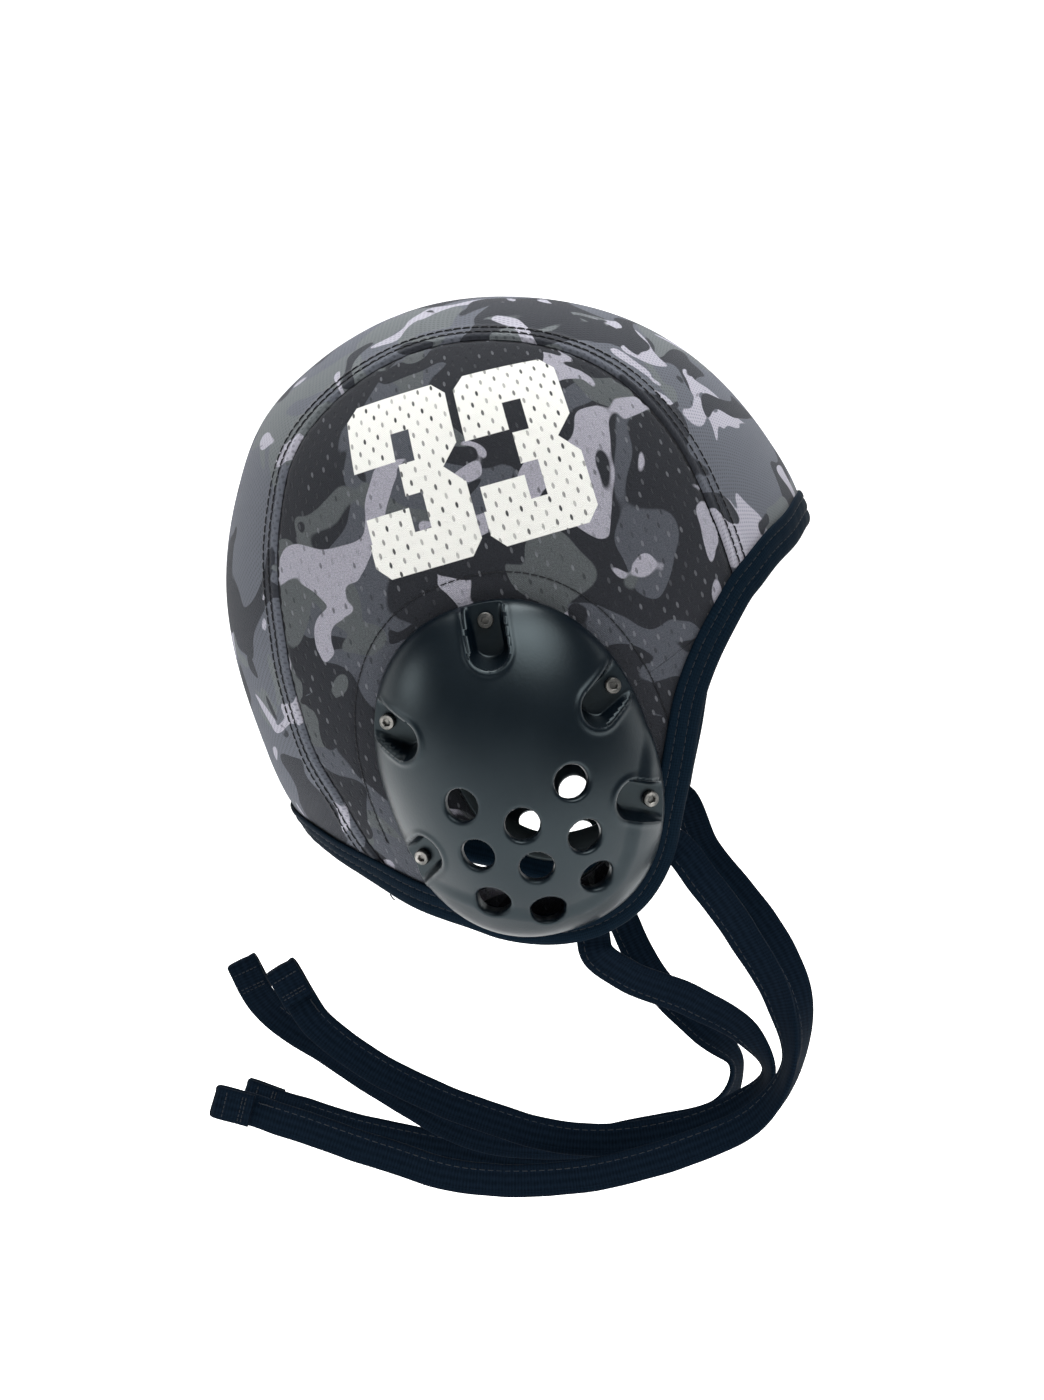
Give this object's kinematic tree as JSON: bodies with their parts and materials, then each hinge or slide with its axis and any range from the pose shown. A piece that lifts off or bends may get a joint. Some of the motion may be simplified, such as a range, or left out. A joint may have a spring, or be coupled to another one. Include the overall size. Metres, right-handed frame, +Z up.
{
  "type": "water polo cap",
  "caption": "Fabric water polo cap with domed plastic ear guards, a bound lower edge and tie tapes that hang below the ear flaps.",
  "frame": {"origin": "inside top of the crown, where the cap sits on the head", "axes": "+X to the wearer's front, +Y to the wearer's left, +Z up"},
  "size_m": [0.1993, 0.197, 0.3012],
  "materials": {
    "side_print": "matt printed perforated polyester",
    "crown_knit": "matt printed fine knit",
    "edge_tape": "matt ribbed navy binding tape",
    "tie_tape": "matt woven navy tape",
    "guard_plastic": "satin moulded black plastic",
    "ring_plastic": "moulded black plastic",
    "screw_steel": "blackened steel"
  },
  "bodies": {
    "root": {"centre_panel": "crown_knit", "side_panel_right": "side_print", "side_panel_left": "side_print", "ear_guard_right": "guard_plastic", "ear_guard_left": "guard_plastic", "guard_ring_right": "ring_plastic", "guard_ring_left": "ring_plastic", "edge_binding": "edge_tape", "tie_right_lower": "tie_tape", "tie_right_front": "tie_tape", "tie_left_lower": "tie_tape", "tie_left_front": "tie_tape", "guard_screw_right_1": "screw_steel", "guard_screw_right_2": "screw_steel", "guard_screw_right_3": "screw_steel", "guard_screw_right_4": "screw_steel", "guard_screw_right_5": "screw_steel", "guard_screw_left_1": "screw_steel", "guard_screw_left_2": "screw_steel", "guard_screw_left_3": "screw_steel", "guard_screw_left_4": "screw_steel", "guard_screw_left_5": "screw_steel"}
  },
  "joints": []
}
